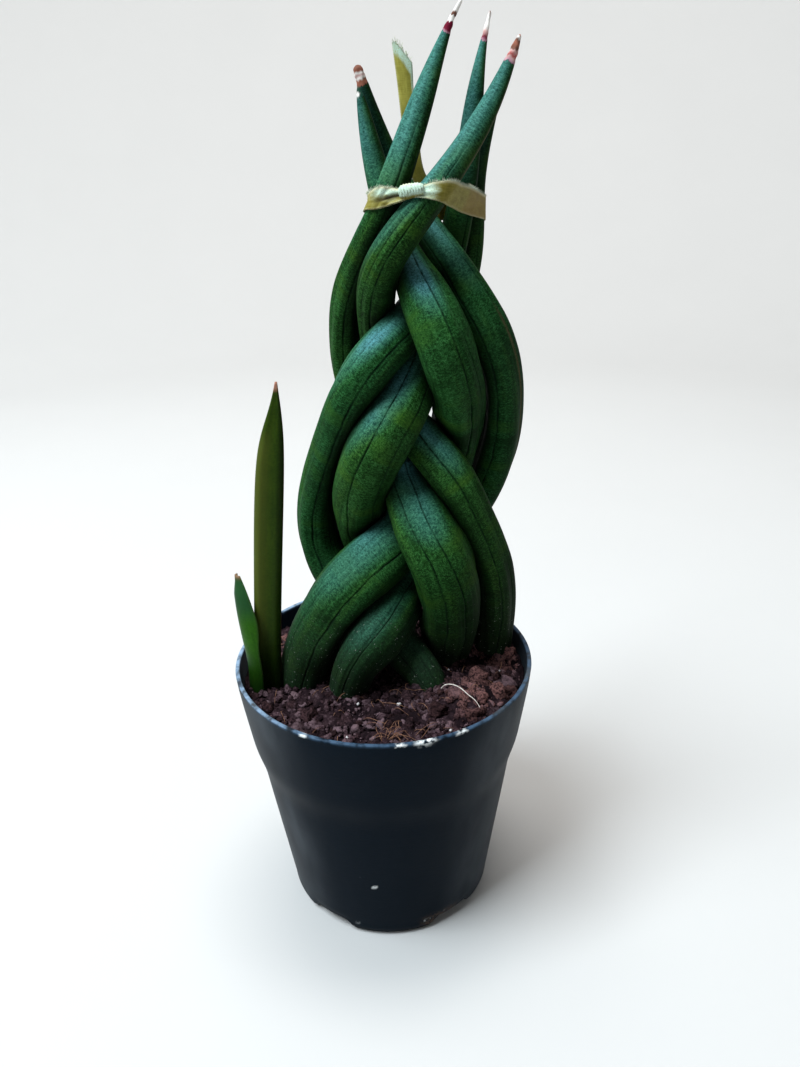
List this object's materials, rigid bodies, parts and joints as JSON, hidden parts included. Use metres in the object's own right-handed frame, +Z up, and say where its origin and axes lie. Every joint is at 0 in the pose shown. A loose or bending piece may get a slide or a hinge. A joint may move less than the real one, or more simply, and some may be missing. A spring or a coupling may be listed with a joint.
{
  "type": "potted braided snake plant",
  "caption": "Small nursery pot of soil with cylindrical snake plant leaves plaited into one upright column and tied with a ribbon below their tips, with a young offshoot beside them.",
  "frame": {"origin": "centre of the pot's foot, on the surface that it stands on", "axes": "+Z up along the pot's axis, -Y towards the viewer, where the ribbon's knot is, +X to the viewer's right"},
  "size_m": [0.0998, 0.1, 0.2792],
  "materials": {
    "pot_plastic": "matt, scuffed",
    "soil_mix": "rough, crumbly",
    "leaf_skin": "satin, waxy",
    "pup_skin": "satin, waxy",
    "ribbon_cloth": "satin"
  },
  "bodies": {
    "root": {"pot": "pot_plastic", "soil": "soil_mix", "leaf_left_outer": "leaf_skin", "leaf_left_inner": "leaf_skin", "leaf_right_inner": "leaf_skin", "leaf_right_outer": "leaf_skin", "leaf_front": "leaf_skin", "leaf_behind": "leaf_skin", "pup_tall": "pup_skin", "pup_short": "pup_skin", "ribbon": "ribbon_cloth"}
  },
  "joints": []
}
